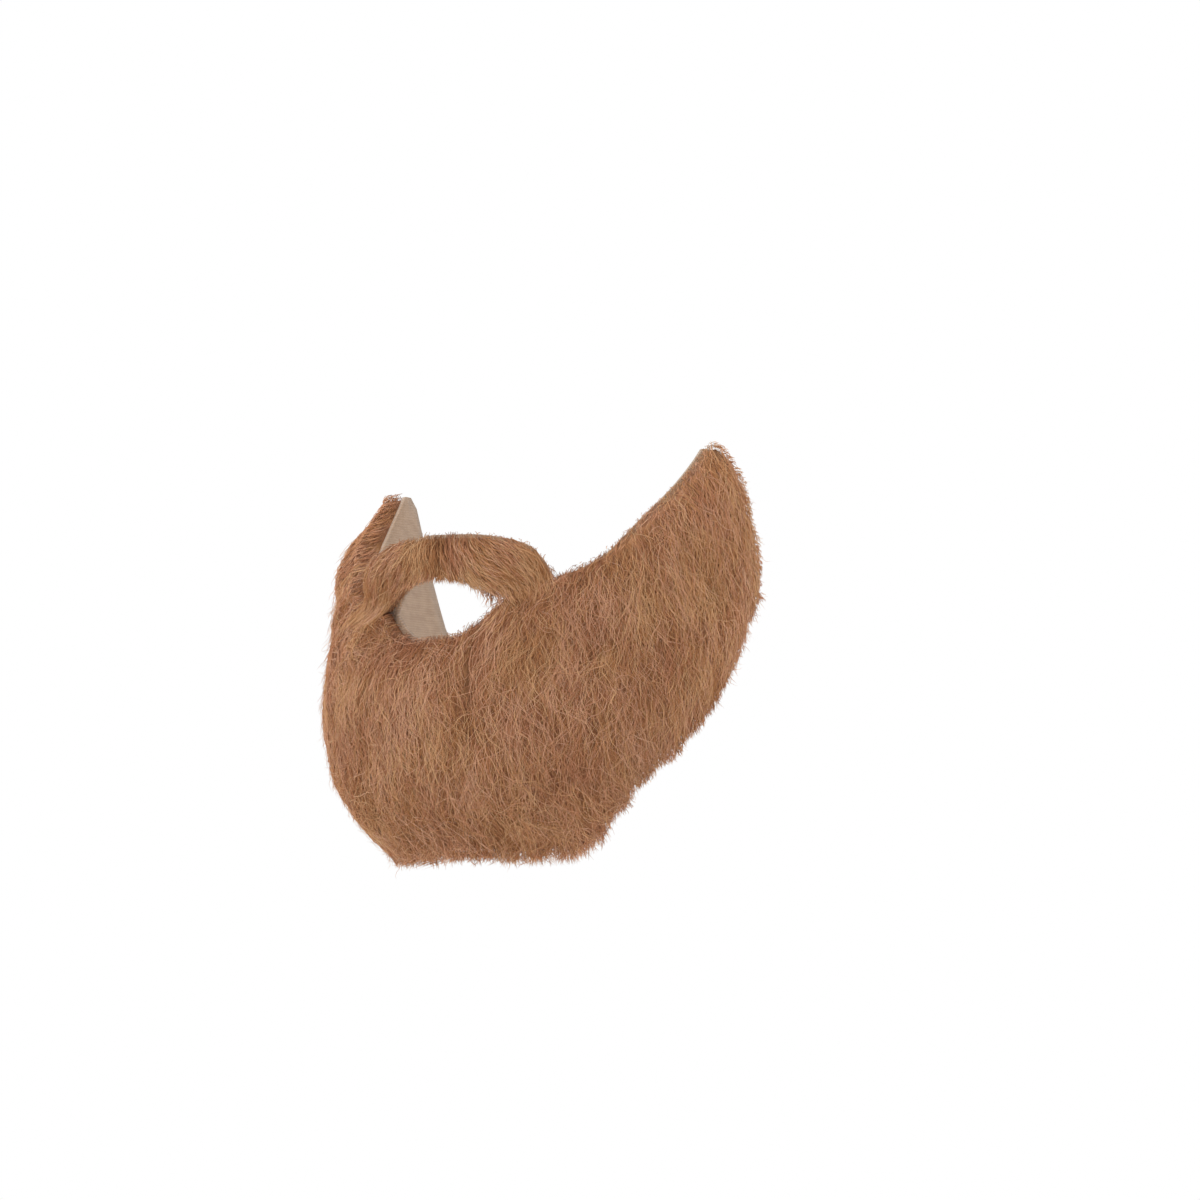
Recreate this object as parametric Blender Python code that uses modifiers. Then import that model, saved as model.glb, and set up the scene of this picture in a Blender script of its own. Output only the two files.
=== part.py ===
# Worn false beard with its moustache: two shaped cloth bases, each with a deep pile of hair in fused locks.
# Metres, +Z up, the wearer looks along -Y with the head tipped a little back, and +X is the wearer's left.
# The origin is the chin seat, on the inner face of the cloth where the front of the chin rests.

import math
from collections import namedtuple

import bpy
import bmesh
from mathutils import Vector

# The adult face that the cloth is cut for, above the jaw's edge, and the same form carried down below it
face_half_width = 0.071  # at the ears
ear_distance = 0.107  # from the chin seat back to the plane of the ears
squareness = 2.25  # exponent of the face's horizontal sections: 2 would be an ellipse
sideburn_rise = 0.082  # from the chin seat up to the tips of the sideburns
jaw_drop = 0.014  # from the chin seat down to the cloth's edge under the chin
neck_slope = 0.15  # how far the form draws in below the cloth, for each metre down

# The mouth opening between beard and moustache, heights above the chin seat
mouth_half_width = 0.0245
mouth_corner_rise = 0.0306
lower_lip_rise = 0.0190  # the beard's edge under the lower lip
upper_lip_rise = 0.0425  # the lower edge of the moustache's cloth at its middle
notch_half_width = 0.0395  # where the moustache's upper edge meets the cheek line
notch_rise = 0.0362
moustache_rise = 0.0555  # the moustache's upper edge, under the nose

# Cloth and pile
cloth_thickness = 0.0015
cloth_gap = 0.0005  # between the cloth and the pile on it
joint_gap = 0.0006  # between the beard and the ends of the moustache
hair_drop = 0.0575  # from the chin seat down to the hem, between its points
pile_depth = 0.028  # how far the fullest hair stands out from the face
least_pile = 0.0022  # of the pile alone, at its thinnest
top_rounding = 0.013  # the pile reaches its full depth this far below its upper edge
hem_rounding = 0.032  # and thins again from this far above the hem
moustache_depth = 0.0078
moustache_rounding = 0.0065
moustache_overhang = 0.0022  # hair that hangs below the moustache's cloth

# Locks
lock_relief = 0.0032
lock_point = 0.0040  # how far the locks' points hang below the hem
lock_spread = 1.05  # a lock's width as a share of its lane's, so that neighbours run into each other
lock_crest = 0.55  # where along a lock it is at its highest
lock_unevenness = 0.045  # share of the beard's height by which locks of one row start higher or lower
moustache_lock_relief = 0.0014
moustache_lock_point = 0.0012
moustache_lock_sweep = 1.3  # lock widths by which a moustache lock moves outwards from top to bottom

# Where the pile goes from its depth in front to its depth at the side, in degrees round the head from the front
front_until = 24.0
side_from = 76.0

# How full the pile is at its edges, as shares of its depth
lip_fullness = 0.36  # at the upper edge under the mouth
cheek_fullness = 0.92  # at the upper edge on the cheek
hem_fullness = 0.38
moustache_fullness = 0.45
rear_fullness = 0.50
rear_fade = 0.14  # share of the half line of columns over which the rear edge thins

# The columns run down the beard, from the middle of the face to the rear edge on each side
half_columns = 48
corner_column = 12  # at the mouth's corner
notch_column = 18  # at the notch between moustache and cheek
full_cheek_column = 30  # the upper edge has its full thickness from here to the sideburn
pile_steps = 28  # from the upper edge to the hem
columns_to_a_lock = 4
cloth_falls = [k / 7 for k in range(8)]  # rows of the cloth and of the pile's inner face, as on_column takes them
hanging_falls = [1.5, 2.0]
moustache_half_columns = 24
moustache_steps = 8
lip_falls = [0.0, 0.33, 0.67, 1.0]
moustache_columns_to_a_lock = 4

# Horizontal sections of the face. level 1 is the sideburns' tips, 0 the chin seat, -1 the cloth's lowest edge.
# width is a share of face_half_width and reach of ear_distance.
Section = namedtuple("Section", "level width reach")
face_sections = (
    Section(level=1.00, width=1.000, reach=1.000),
    Section(level=0.68, width=1.000, reach=1.008),
    Section(level=0.46, width=0.985, reach=0.985),
    Section(level=0.30, width=0.950, reach=0.975),
    Section(level=0.16, width=0.915, reach=0.985),
    Section(level=0.00, width=0.860, reach=1.000),
    Section(level=-1.00, width=0.805, reach=0.965),
)

# The pile's depth in front and at the side, as shares of pile_depth. level -1 is the hem under the chin.
Pile = namedtuple("Pile", "level front side")
pile_table = (
    Pile(level=1.00, front=0.40, side=0.26),
    Pile(level=0.80, front=0.74, side=0.41),
    Pile(level=0.62, front=0.65, side=0.42),
    Pile(level=0.45, front=0.56, side=0.43),
    Pile(level=0.20, front=0.71, side=0.44),
    Pile(level=0.00, front=0.84, side=0.48),
    Pile(level=-0.25, front=0.94, side=0.50),
    Pile(level=-1.00, front=0.96, side=0.51),
)

# Edges of the beard from the notch (share 0) to the rear edge (share 1), angle in degrees round the head from
# the front. Above the chin seat level is a share of sideburn_rise, below it of jaw_drop or of hair_drop.
Edge = namedtuple("Edge", "share angle level")
cheek_line = (
    Edge(share=0.00, angle=23.0, level=0.441),
    Edge(share=0.22, angle=32.0, level=0.515),
    Edge(share=0.45, angle=43.0, level=0.700),
    Edge(share=0.62, angle=51.5, level=0.830),
    Edge(share=0.78, angle=57.5, level=0.930),
    Edge(share=0.90, angle=62.0, level=1.000),
    Edge(share=1.00, angle=66.0, level=0.940),
)
jaw_line = (
    Edge(share=0.00, angle=21.0, level=-0.95),
    Edge(share=0.30, angle=34.0, level=-0.60),
    Edge(share=0.50, angle=44.0, level=-0.15),
    Edge(share=0.75, angle=57.0, level=0.12),
    Edge(share=1.00, angle=71.0, level=0.32),
)
hem_line = (
    Edge(share=0.00, angle=21.0, level=-0.97),
    Edge(share=0.30, angle=33.0, level=-0.62),
    Edge(share=0.50, angle=44.5, level=-0.40),
    Edge(share=0.75, angle=58.5, level=-0.12),
    Edge(share=1.00, angle=69.5, level=0.24),
)
rear_bulge = 4.0  # degrees by which the rear edge bows back between its ends

# Edges of the moustache from its middle (share 0) to its end (share 1). angle is a share of the notch's angle on
# the upper edge and of the mouth corner's on the lower one. level runs from the end's height (0) to the middle's.
moustache_top = (
    Edge(share=0.00, angle=0.00, level=1.00),
    Edge(share=0.38, angle=0.40, level=0.91),
    Edge(share=0.60, angle=0.62, level=0.80),
    Edge(share=0.80, angle=0.84, level=0.60),
    Edge(share=0.91, angle=0.93, level=0.32),
    Edge(share=1.00, angle=1.00, level=0.00),
)
moustache_bottom = (
    Edge(share=0.00, angle=0.00, level=1.00),
    Edge(share=0.40, angle=0.40, level=0.85),
    Edge(share=0.70, angle=0.72, level=0.48),
    Edge(share=1.00, angle=1.00, level=0.00),
)

# Rows of locks down the beard: where each starts and how long it is, as shares of the way from the upper edge to
# the hem. The locks of each second row lie between those of the first.
LockRow = namedtuple("LockRow", "start length shift")
lock_rows = (
    LockRow(start=0.00, length=0.31, shift=0.5),
    LockRow(start=0.18, length=0.32, shift=0.0),
    LockRow(start=0.38, length=0.32, shift=0.5),
    LockRow(start=0.56, length=0.33, shift=0.0),
    LockRow(start=0.74, length=0.26, shift=0.5),
)


def smooth_value(rows, key, column, at):
    """The value of a table's column where its key column is at, on a smooth line through the rows."""
    rows = sorted(rows, key=lambda row: getattr(row, key))
    places = [getattr(row, key) for row in rows]
    values = [getattr(row, column) for row in rows]
    if at <= places[0]:
        return values[0]
    if at >= places[-1]:
        return values[-1]
    last = len(rows) - 1
    rises = [(values[k + 1] - values[k]) / (places[k + 1] - places[k]) for k in range(last)]

    def slope(k):
        if k in (0, last):
            return rises[min(k, last - 1)]
        before, after = rises[k - 1], rises[k]
        return 0.0 if before * after <= 0 else 2 * before * after / (before + after)

    i = max(k for k in range(last) if places[k] <= at)
    step = places[i + 1] - places[i]
    t = (at - places[i]) / step
    level = (2 * t**3 - 3 * t**2 + 1) * values[i] + (3 * t**2 - 2 * t**3) * values[i + 1]
    return level + step * ((t**3 - 2 * t**2 + t) * slope(i) + (t**3 - t**2) * slope(i + 1))


def mix(a, b, share):
    return a + (b - a) * share


def rounded(distance, length, least):
    """A quarter-round edge: least at the edge itself, 1 from length onwards."""
    return mix(least, 1, math.sin(math.pi / 2 * min(1.0, max(0.0, distance / length))))


def height(level, drop):
    return level * (sideburn_rise if level > 0 else drop)


def level_at(z, drop):
    return z / (sideburn_rise if z > 0 else drop)


def section_at(z):
    """Half width and reach of the face at a height, drawn in below the cloth."""
    level = level_at(z, jaw_drop)
    drawn_in = neck_slope * max(0.0, -jaw_drop - z)
    width = face_half_width * smooth_value(face_sections, "level", "width", level)
    reach = ear_distance * smooth_value(face_sections, "level", "reach", level)
    return width - drawn_in, reach - drawn_in


def face_point(angle, z, offset):
    """A point at that level offset outside the face, angle in degrees round the head."""
    width, reach = section_at(z)
    side, front = math.sin(math.radians(angle)), math.cos(math.radians(angle))
    radius = (abs(side / width) ** squareness + abs(front / reach) ** squareness) ** (-1 / squareness)
    across, forward = radius * side, radius * front
    out = Vector((
        math.copysign(abs(across / width) ** (squareness - 1) / width, across),
        -(abs(forward / reach) ** (squareness - 1)) / reach,
        0,
    )).normalized()
    return Vector((across, ear_distance - forward, z)) + out * offset


def angle_of(half_width, z):
    """The angle round the head at which the face is that far from its middle plane."""
    width, reach = section_at(z)
    forward = reach * (1 - (half_width / width) ** squareness) ** (1 / squareness)
    return math.degrees(math.atan2(half_width, forward))


corner_share = corner_column / half_columns
notch_share = notch_column / half_columns
full_cheek_share = full_cheek_column / half_columns
corner_angle = angle_of(mouth_half_width, mouth_corner_rise)
notch_angle = angle_of(notch_half_width, notch_rise)
inner_offset = cloth_thickness + cloth_gap


def front_angle(place):
    """The angle of a column between the middle of the face and the notch, the same at each height."""
    if place <= corner_share:
        return corner_angle * place / corner_share
    return mix(corner_angle, notch_angle, (place - corner_share) / (notch_share - corner_share))


def edge_point(place, line, drop):
    """(angle, height) of a table's edge, its first row moved to the notch's angle."""
    share = (place - notch_share) / (1 - notch_share)
    angle = smooth_value(line, "share", "angle", share)
    moved = (notch_angle - line[0].angle) * (1 - share) ** 2
    return angle + moved, height(smooth_value(line, "share", "level", share), drop)


def top_edge(column):
    place = abs(column)
    if place <= corner_share:
        bow = (place / corner_share) ** 3
        return front_angle(place), mix(lower_lip_rise, mouth_corner_rise, bow)
    if place <= notch_share:
        share = (place - corner_share) / (notch_share - corner_share)
        return front_angle(place), mix(mouth_corner_rise, notch_rise, share)
    angle, z = edge_point(place, cheek_line, jaw_drop)
    start = height(cheek_line[0].level, jaw_drop)
    return angle, z + (notch_rise - start) * ((1 - place) / (1 - notch_share)) ** 2


def lower_edge(column, line, drop):
    place = abs(column)
    if place <= notch_share:
        return front_angle(place), mix(-drop, line[0].level * drop, (place / notch_share) ** 2)
    return edge_point(place, line, drop)


def on_column(column, fall):
    """(angle, height) on a column: fall is 0 at the upper edge, 1 at the cloth's lower edge and 2 at the hem."""
    top = top_edge(column)
    jaw = lower_edge(column, jaw_line, jaw_drop)
    hem = lower_edge(column, hem_line, hair_drop)
    start, end = (top, jaw) if fall <= 1 else (jaw, hem)
    share = fall if fall <= 1 else fall - 1
    bulge = rear_bulge * abs(column) ** 6 * math.sin(math.pi * fall / 2)
    return math.copysign(mix(start[0], end[0], share) + bulge, column), mix(start[1], end[1], share)


def pile_place(column, share):
    """(angle, height) on a column, share going evenly from 0 at the upper edge to 1 at the hem."""
    top = top_edge(column)[1]
    jaw = lower_edge(column, jaw_line, jaw_drop)[1]
    hem = lower_edge(column, hem_line, hair_drop)[1]
    z = mix(top, hem, share)
    if z >= jaw:
        return on_column(column, (top - z) / (top - jaw))
    return on_column(column, 1 + (jaw - z) / (jaw - hem))


def lock_height(across, along):
    """The form of one lock, from 0 to 1: across from -1 to 1, along from root (0) to point (1)."""
    if not 0 <= along <= 1:
        return 0.0
    half_width = lock_spread * (1 - along**3) ** 0.5
    if abs(across) >= half_width:
        return 0.0
    return math.sin(math.pi / 2 * min(1, along / lock_crest)) * (1 - (across / half_width) ** 2)


def lane(column, shift):
    """(number, place) of the lock that a column crosses: the place runs from -1 to 1 across it."""
    place = column * half_columns / columns_to_a_lock + shift
    number = math.floor(place)
    return number, 2 * (place - number) - 1


def lock_at(row, column, share):
    """The height of a row's locks at a place, each started a little higher or lower than the next."""
    number, across = lane(column, row.shift)
    start = row.start + lock_unevenness * math.sin(2.4 * number + 9 * row.start)
    return lock_height(across, (share - start) / row.length)


def pile_offset(column, share):
    """How far the beard's outer surface stands out from the face."""
    angle, z = pile_place(column, share)
    top = top_edge(column)[1]
    hem = lower_edge(column, hem_line, hair_drop)[1]
    level = level_at(z, hair_drop)
    front = smooth_value(pile_table, "level", "front", level)
    side = smooth_value(pile_table, "level", "side", level)
    turn = min(1.0, max(0.0, (abs(angle) - front_until) / (side_from - front_until)))
    depth = pile_depth * mix(front, side, turn * turn * (3 - 2 * turn))
    onto_cheek = min(1.0, max(0.0, (abs(column) - corner_share) / (full_cheek_share - corner_share)))
    depth *= rounded(top - z, top_rounding, mix(lip_fullness, cheek_fullness, onto_cheek))
    depth *= rounded(z - hem, hem_rounding, hem_fullness)
    depth *= rounded(1 - abs(column), rear_fade, rear_fullness)
    locks = max(lock_at(row, column, share) for row in lock_rows)
    locks *= min(1.0, depth / (2 * lock_relief))
    return max(inner_offset + least_pile, depth) + lock_relief * locks


def hem_point(column):
    """How far the lowest row's points hang below the hem at a column."""
    return lock_point * (1 - abs(lane(column, lock_rows[-1].shift)[1]))


def moustache_place(share, fall):
    """(angle, height) on the moustache: fall 0 at its upper edge, 1 at its cloth's lower edge, 2 at its hair's."""
    place = abs(share)
    top_angle = notch_angle * smooth_value(moustache_top, "share", "angle", place)
    top_level = smooth_value(moustache_top, "share", "level", place)
    bottom_angle = corner_angle * smooth_value(moustache_bottom, "share", "angle", place)
    bottom_level = smooth_value(moustache_bottom, "share", "level", place)
    top = mix(notch_rise, moustache_rise, top_level) + joint_gap
    bottom = mix(mouth_corner_rise, upper_lip_rise, bottom_level) + joint_gap
    down = min(1.0, fall)
    z = mix(top, bottom, down) - moustache_overhang * max(0.0, fall - 1) * (1 - place**4)
    return math.copysign(mix(top_angle, bottom_angle, down), share), z


def moustache_lane(share, down):
    """As lane, for the moustache, whose locks part at its middle and sweep outwards."""
    across = abs(share) * moustache_half_columns / moustache_columns_to_a_lock
    place = across - moustache_lock_sweep * down * min(1.0, across)
    return 2 * (place - math.floor(place)) - 1


def moustache_offset(share, down):
    """How far the moustache's outer surface stands out, down going from 0 at its upper edge to 1 at its hair's."""
    z = moustache_place(share, 2 * down)[1]
    top, hem = moustache_place(share, 0)[1], moustache_place(share, 2)[1]
    depth = moustache_depth * rounded(top - z, moustache_rounding, moustache_fullness)
    depth *= rounded(z - hem, moustache_rounding, moustache_fullness)
    relief = moustache_lock_relief * (1 - moustache_lane(share, down) ** 2)
    return max(inner_offset + least_pile, depth) + relief * math.sin(math.pi / 2 * min(1.0, 2 * down))


def new_collection(name):
    collection = bpy.data.collections.new(name)
    bpy.context.scene.collection.children.link(collection)
    return collection


def mesh_object(name, points, faces, collection):
    mesh = bpy.data.meshes.new(name)
    mesh.from_pydata(points, [], faces)
    edit = bmesh.new()
    edit.from_mesh(mesh)
    bmesh.ops.recalc_face_normals(edit, faces=edit.faces)
    edit.to_mesh(mesh)
    edit.free()
    obj = bpy.data.objects.new(name, mesh)
    collection.objects.link(obj)
    return obj


def loft(name, rings, collection):
    """A closed solid through rings of points, with a cap on its first and its last ring."""
    size = len(rings[0])
    points = [point for ring in rings for point in ring]
    faces = [tuple(range(size)), tuple(range((len(rings) - 1) * size, len(rings) * size))]
    for r in range(len(rings) - 1):
        for k in range(size):
            turn = (k + 1) % size
            faces.append((r * size + k, r * size + turn, (r + 1) * size + turn, (r + 1) * size + k))
    return mesh_object(name, points, faces, collection)


def cloth(name, rows, collection):
    """A cloth wall: a sheet laid on the face, given its thickness outwards."""
    width = len(rows[0])
    points = [point for row in rows for point in row]
    faces = []
    for r in range(len(rows) - 1):
        for k in range(width - 1):
            a = r * width + k
            faces.append((a, a + 1, a + width + 1, a + width))
    obj = mesh_object(name, points, faces, collection)
    middle = obj.data.polygons[len(obj.data.polygons) // 2]
    thicken = obj.modifiers.new("thickness", "SOLIDIFY")
    thicken.thickness = cloth_thickness
    thicken.offset = 1.0 if middle.normal.y < 0 else -1.0
    return obj


def both_sides(half, step=1):
    """Column shares from the rear edge on the wearer's right to that on the left."""
    places = [k / half for k in range(0, half + 1, step)]
    return [-place for place in reversed(places[1:])] + places


def beard_backing(collection):
    columns = both_sides(half_columns, 2)
    rows = [[face_point(*on_column(column, fall), 0.0) for column in columns] for fall in cloth_falls]
    return cloth("beard_backing", rows, collection)


def moustache_backing(collection):
    shares = both_sides(moustache_half_columns, 2)
    rows = [[face_point(*moustache_place(share, fall), 0.0) for share in shares] for fall in lip_falls]
    return cloth("moustache_backing", rows, collection)


def beard_hair(collection):
    rings = []
    for column in both_sides(half_columns):
        shares = [k / pile_steps for k in range(pile_steps + 1)]
        outer = [face_point(*pile_place(column, share), pile_offset(column, share)) for share in shares]
        inner = [face_point(*on_column(column, fall), inner_offset) for fall in cloth_falls + hanging_falls]
        outer[-1].z -= hem_point(column)
        inner[-1].z -= hem_point(column)
        rings.append(outer + inner[::-1])
    return loft("beard_hair", rings, collection)


def moustache_hair(collection):
    rings = []
    for share in both_sides(moustache_half_columns):
        outer = []
        for k in range(moustache_steps + 1):
            down = k / moustache_steps
            angle, z = moustache_place(share, 2 * down)
            outer.append(face_point(angle, z, moustache_offset(share, down)))
        inner = [face_point(*moustache_place(share, fall), inner_offset) for fall in lip_falls + [2.0]]
        point = moustache_lock_point * (1 - moustache_lane(share, 1) ** 2) * (1 - abs(share) ** 4)
        outer[-1].z -= point
        inner[-1].z -= point
        rings.append(outer + inner[::-1])
    return loft("moustache_hair", rings, collection)


def material(name, colour, roughness):
    made = bpy.data.materials.new(name)
    made.use_nodes = True
    shader = made.node_tree.nodes["Principled BSDF"]
    shader.inputs["Base Color"].default_value = (*colour, 1)
    shader.inputs["Roughness"].default_value = roughness
    shader.inputs["Metallic"].default_value = 0.0
    return made


def build():
    for obj in list(bpy.data.objects):
        bpy.data.objects.remove(obj, do_unlink=True)
    beard = new_collection("false_beard")
    beard_backing(beard).data.materials.append(material("tan_cloth", (0.50, 0.33, 0.22), 0.9))
    moustache_backing(beard).data.materials.append(material("lip_cloth", (0.50, 0.33, 0.22), 0.9))
    beard_hair(beard).data.materials.append(material("ginger_hair", (0.32, 0.155, 0.078), 0.6))
    moustache_hair(beard).data.materials.append(material("moustache_ginger_hair", (0.33, 0.16, 0.08), 0.6))


build()
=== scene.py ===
# False beard with its moustache: crimped ginger pile over two shaped knitted bases,
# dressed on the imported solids.
import math

import bpy
import numpy as np
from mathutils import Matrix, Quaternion, Vector
from mathutils.bvhtree import BVHTree


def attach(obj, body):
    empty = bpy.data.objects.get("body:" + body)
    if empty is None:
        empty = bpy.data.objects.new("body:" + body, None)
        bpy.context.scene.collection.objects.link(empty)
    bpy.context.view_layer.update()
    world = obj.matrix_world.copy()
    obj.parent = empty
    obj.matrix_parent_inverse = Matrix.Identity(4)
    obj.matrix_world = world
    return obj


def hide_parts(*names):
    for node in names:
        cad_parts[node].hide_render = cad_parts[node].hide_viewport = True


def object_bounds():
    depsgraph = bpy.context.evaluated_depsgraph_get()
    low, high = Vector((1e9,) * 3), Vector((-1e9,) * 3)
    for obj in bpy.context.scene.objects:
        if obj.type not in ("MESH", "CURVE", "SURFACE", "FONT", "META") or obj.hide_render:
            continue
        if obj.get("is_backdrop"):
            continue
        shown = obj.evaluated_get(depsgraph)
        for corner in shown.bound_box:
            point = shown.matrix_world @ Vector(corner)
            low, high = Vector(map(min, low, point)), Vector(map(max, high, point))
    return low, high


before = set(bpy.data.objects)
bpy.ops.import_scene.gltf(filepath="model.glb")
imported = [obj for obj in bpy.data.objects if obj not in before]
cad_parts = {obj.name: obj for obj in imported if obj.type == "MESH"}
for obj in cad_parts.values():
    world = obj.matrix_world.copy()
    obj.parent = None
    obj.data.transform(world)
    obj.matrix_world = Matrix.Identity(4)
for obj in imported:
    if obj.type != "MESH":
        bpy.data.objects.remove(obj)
bpy.ops.object.select_all(action="DESELECT")
solidBox = [list(corner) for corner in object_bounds()]
print("frame loaded")

mm = 0.001
fullTurn = 6.3  # radians, near enough for a random phase


# the pile's form, read once from the solids as radii round the head's axis
head = dict(
    axisY=0.107,          # the axis stands between the ears
    widest=104.0,         # degrees to each side of the front
    angleStep=0.5,
    lowest=-0.086,
    highest=0.104,
    heightStep=0.001,
    castFrom=0.3,
    softening=2.8,        # grid places over which the solid's lock relief is eased
    lockBlur=4.0,         # and over which its locks' points at the hem vanish
    patternRadius=105.0,  # mm, near enough for patterns round the face
    meanRadius=0.11,
    greatestRadius=0.130,
    mapAngles=210,        # degrees that a base's map spans
)
gridAngles = np.arange(-head["widest"], head["widest"] + 0.01, head["angleStep"])
gridHeights = np.arange(head["lowest"], head["highest"] + 1e-6, head["heightStep"])


def castRadii(node):
    # outer and inner radius of a node at each angle and height, and where there is any
    tree = BVHTree.FromObject(node, bpy.context.evaluated_depsgraph_get())
    far = head["castFrom"]
    outer = np.zeros((len(gridAngles), len(gridHeights)))
    inner = np.zeros_like(outer)
    for i, angle in enumerate(np.radians(gridAngles)):
        outward = Vector((math.sin(angle), -math.cos(angle), 0))
        for k, z in enumerate(gridHeights):
            axis = Vector((0, head["axisY"], z))
            hit = tree.ray_cast(axis + outward * far, -outward, far)[0]
            if hit is not None:
                outer[i, k] = (hit - axis).length
                inner[i, k] = (tree.ray_cast(axis, outward, far)[0] - axis).length
    return outer, inner, outer > 0


def fromAxis(radius, angle, z):
    # xyz of places given round the head's axis
    turn = np.radians(angle)
    return np.stack([radius * np.sin(turn), head["axisY"] - radius * np.cos(turn), z], axis=1)


def roundAxis(coords):
    # radius and angle of xyz places round the head's axis
    toAxis = head["axisY"] - coords[..., 1]
    return np.hypot(coords[..., 0], toAxis), np.degrees(np.arctan2(coords[..., 0], toAxis))


def neighbourSum(values):
    return sum(np.roll(values, shift, axis) for axis in (0, 1) for shift in (1, -1))


def rimOf(mask, whole):
    # the places of a mask that lie on the edge of the whole
    return mask & (neighbourSum(whole.astype(int)) < 4)


def carriedOut(values, known, rounds=40):
    # the field carried past the pile's edges, so that hair can overhang them
    values, known = np.where(known, values, 0.0), known.astype(float)
    for _ in range(rounds):
        near = neighbourSum(known)
        grown = (known == 0) & (near > 0)
        values[grown] = (neighbourSum(values * known) / np.maximum(near, 1))[grown]
        known[grown] = 1
    values[known == 0] = np.median(values[known > 0])
    return values


def blurred(values, width):
    reach = int(3 * width) + 1
    shifts = np.arange(-reach, reach + 1)
    weights = np.exp(-0.5 * (shifts / width) ** 2)
    for axis in (0, 1):
        values = sum(w * np.roll(values, s, axis) for w, s in zip(weights, shifts)) / weights.sum()
    return values


def pileForm():
    # the pile's eased outside, its inside and its solid outside, each carried past its edges
    width = head["softening"]
    pileOuter = np.where(beardMask, beardOuter, lipOuter)
    eased = blurred(pileOuter * pileMask, width) / np.maximum(blurred(pileMask * 1.0, width), 1e-6)
    return {
        "outer": carriedOut(eased, pileMask),
        "inner": carriedOut(np.where(beardMask, beardInner, lipInner), pileMask),
        "solid": carriedOut(pileOuter, pileMask),
        "mask": blurred(pileMask * 1.0, 1.0),
    }


beardOuter, beardInner, beardMask = castRadii(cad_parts["beard_hair"])
lipOuter, lipInner, lipMask = castRadii(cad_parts["moustache_hair"])
clothMask = castRadii(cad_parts["beard_backing"])[2]
pileMask = beardMask | lipMask
form = pileForm()
print("pile measured", pileMask.sum(), "places")


def readGrid(field, angle, z):
    # bilinear, angle in degrees
    i = np.clip((angle + head["widest"]) / head["angleStep"], 0, field.shape[0] - 1.001)
    k = np.clip((z - head["lowest"]) / head["heightStep"], 0, field.shape[1] - 1.001)
    a, b = i.astype(int), k.astype(int)
    u, v = i - a, k - b
    low = field[a, b] * (1 - v) + field[a, b + 1] * v
    high = field[a + 1, b] * (1 - v) + field[a + 1, b + 1] * v
    return low * (1 - u) + high * u


def pileAt(key, angle, z):
    return readGrid(form[key], angle, z)


def edgeHeights(mask, top):
    # the mask's upper or lower edge at each angle, level outside it
    rows = mask[:, ::-1] if top else mask
    first = rows.argmax(axis=1)
    heights = gridHeights[::-1][first] if top else gridHeights[first]
    there = mask.any(axis=1)
    return np.interp(gridAngles, gridAngles[there], heights[there])


hangMask = blurred(pileMask * 1.0, head["lockBlur"]) > 0.5
topLine = edgeHeights(pileMask, True)
hemLine = edgeHeights(hangMask, False)
clothLine = edgeHeights(clothMask, False)


def atAngle(line, angle):
    return np.interp(angle, gridAngles, line)


def ramp(value, start, end):
    t = np.clip((value - start) / (end - start), 0, 1)
    return t * t * (3 - 2 * t)


# where the hair ends against the solid's hem, in mm, with the degrees this sets in and fades over
hang = dict(
    low=3.8,            # lower to the left of the chin
    lowStart=(4, 14),
    lowEnd=(25, 35),
    high=2.8,           # higher to its right
    highStart=(-4, 8),
    highEnd=(18, 50),
    rootsBelow=1 * mm,  # hair may root this far below the solid's hem
    hemBand=-3 * mm,
)


def hangAt(angle):
    # how far below the solid's hem the hair ends
    low = hang["low"] * (ramp(angle, *hang["lowStart"]) - ramp(angle, *hang["lowEnd"]))
    high = hang["high"] * ramp(-angle, *hang["highStart"]) * (1 - ramp(-angle, *hang["highEnd"]))
    return (low - high) * mm


def keptMask():
    # where hair may be: the pile, with the hair's own hem instead of the solid's
    belowHem = hemLine[:, None] - gridHeights[None, :]
    drop = hangAt(gridAngles)[:, None]
    kept = pileMask & (belowHem < hang["rootsBelow"] + drop)
    kept |= (belowHem > hang["hemBand"]) & (belowHem < drop)
    return blurred(kept * 1.0, 1.0)


form["kept"] = keptMask()


def noiseField(seed, size=97):
    lattice = np.random.default_rng(seed).uniform(-1, 1, (size, size))

    def read(u, v):
        i, k = np.floor(u).astype(int), np.floor(v).astype(int)
        a, b = u - i, v - k
        a, b = a * a * (3 - 2 * a), b * b * (3 - 2 * b)
        corner = lambda x, y: lattice[(i + x) % size, (k + y) % size]
        low = corner(0, 0) * (1 - a) + corner(1, 0) * a
        high = corner(0, 1) * (1 - a) + corner(1, 1) * a
        return low * (1 - b) + high * b

    return read


# each pattern's seed, and the size of its cells: mm round the face, then metres in height
patterns = dict(
    sway=(11, 5.5, 11 * mm),
    wave=(23, 7, 9 * mm),
    tone=(37, 2.6, 9 * mm),
    patch=(41, 11, 16 * mm),
    hue=(53, 5, 10 * mm),
    tuft=(67, 4.5, 9 * mm),
    fineTuft=(67, 2.3, 5 * mm),
)
noises = {name: noiseField(row[0]) for name, row in patterns.items()}


def across(angle):
    return np.radians(angle) * head["patternRadius"]


def patternAt(name, angle, z, shift=0):
    wide, tall = patterns[name][1:]
    return noises[name](across(angle) / wide + shift, z / tall)


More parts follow.
